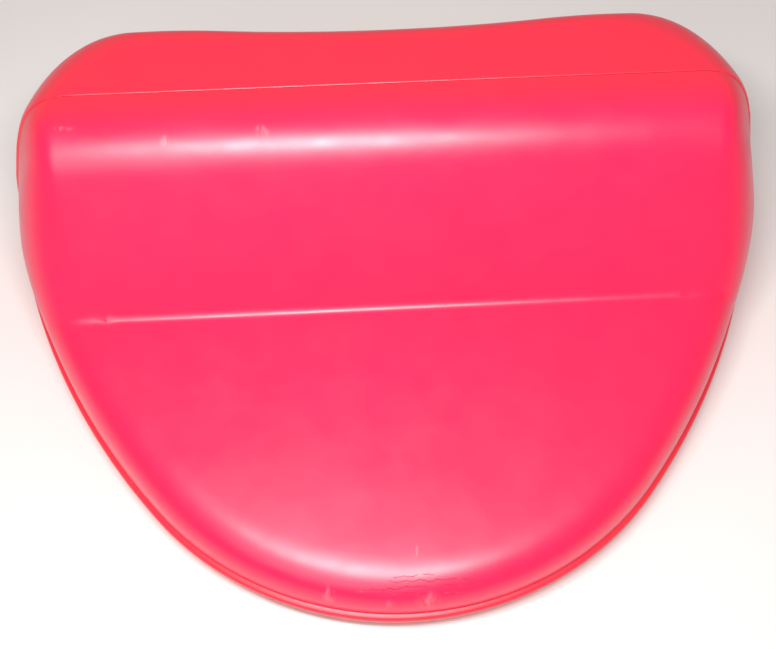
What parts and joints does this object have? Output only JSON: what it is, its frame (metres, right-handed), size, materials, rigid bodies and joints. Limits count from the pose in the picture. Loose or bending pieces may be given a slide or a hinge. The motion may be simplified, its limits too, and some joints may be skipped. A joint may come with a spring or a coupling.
{
  "type": "kick shield",
  "caption": "Red moulded foam kick shield: D-shaped pad with a raised ridge, and a back recess with a forearm strap and hand grip.",
  "frame": {"origin": "centre of the bounding box's bottom, on the plane of the flat back rim", "axes": "+Z out of the strike side, away from the flat back; +Y from the rounded narrow end to the wide end with the ridge; +X to the right, along the ridge, across the plane of symmetry of the moulding"},
  "size_m": [0.3534, 0.247, 0.117],
  "materials": {
    "red_skin": "satin moulded integral skin",
    "rear_red_skin": "satin moulded integral skin",
    "firm_foam": "closed-cell, matte",
    "soft_foam": "open-cell, matte",
    "plywood": "raw birch plywood",
    "zinc_steel": "zinc plated",
    "bright_steel": "nickel plated",
    "pad_foam": "closed-cell, matte",
    "black_webbing": "woven polypropylene",
    "loop_pile": "brushed loop pile",
    "hook_pile": "moulded hooks on tape",
    "grip_rubber": "ribbed, matte"
  },
  "bodies": {
    "root": {"front_skin": "red_skin", "rear_skin": "rear_red_skin", "impact_foam": "firm_foam", "core_foam": "soft_foam", "anchor_rail_near": "plywood", "anchor_rail_far": "plywood", "strap_tee_nuts": "zinc_steel", "grip_tee_nuts": "zinc_steel", "strap_loop_near": "bright_steel", "strap_loop_far": "bright_steel", "grip_loop_near": "bright_steel", "grip_loop_far": "bright_steel", "strap_loop_screws": "zinc_steel", "grip_loop_screws": "zinc_steel", "forearm_pad": "pad_foam", "knuckle_pad": "pad_foam", "strap_web": "black_webbing", "loop_tape": "loop_pile", "grip_web": "black_webbing"},
    "strap_tail": {"strap_tail": "black_webbing", "hook_tape": "hook_pile"},
    "grip_sleeve": {"grip_sleeve": "grip_rubber"}
  },
  "joints": [
    {"name": "tail_peel", "type": "hinge", "parent": "root", "child": "strap_tail", "pos_m": [-0.056, -0.0048, 0.0074], "axis": [-1, 0, 0], "range_deg": [0, 90]},
    {"name": "sleeve_turn", "type": "hinge", "parent": "root", "child": "grip_sleeve", "pos_m": [0.066, 0.0515, 0.015], "axis": [0, 1, 0], "continuous": true}
  ]
}
